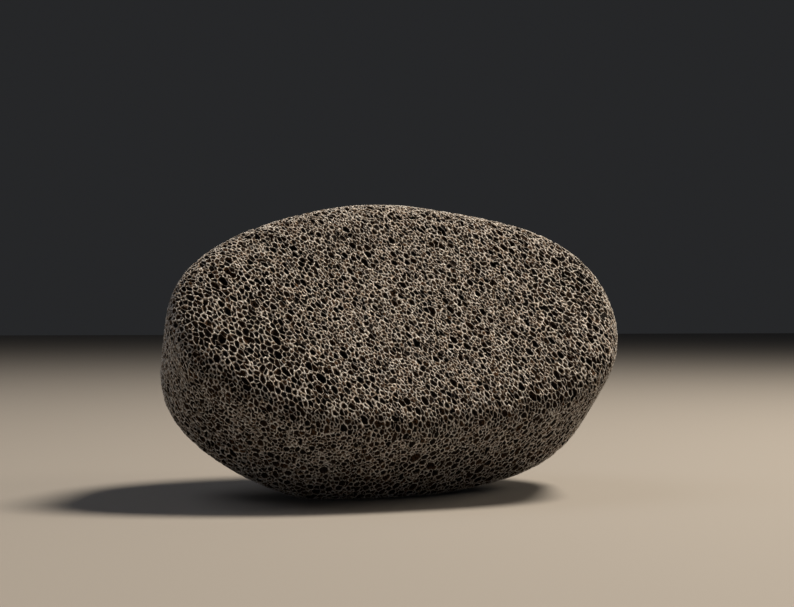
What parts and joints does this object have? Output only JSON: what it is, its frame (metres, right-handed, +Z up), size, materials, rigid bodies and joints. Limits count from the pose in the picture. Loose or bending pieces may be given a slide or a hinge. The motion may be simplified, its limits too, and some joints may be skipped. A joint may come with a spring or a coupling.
{
  "type": "pumice stone",
  "caption": "Oval block of dark pumice with rounded edges and open cells all over, standing on a long edge and leaning back on a small worn flat.",
  "frame": {"origin": "on the surface that the stone stands on, under the middle of its bounding box", "axes": "+X along the stone, -Y the side that its broad lit face looks towards, +Z up"},
  "size_m": [0.095, 0.059, 0.0616],
  "materials": {
    "pumice": "open-celled volcanic foam, ground rough, dark grey-brown, dry and matt"
  },
  "bodies": {
    "root": {"pumice_stone": "pumice"}
  },
  "joints": []
}
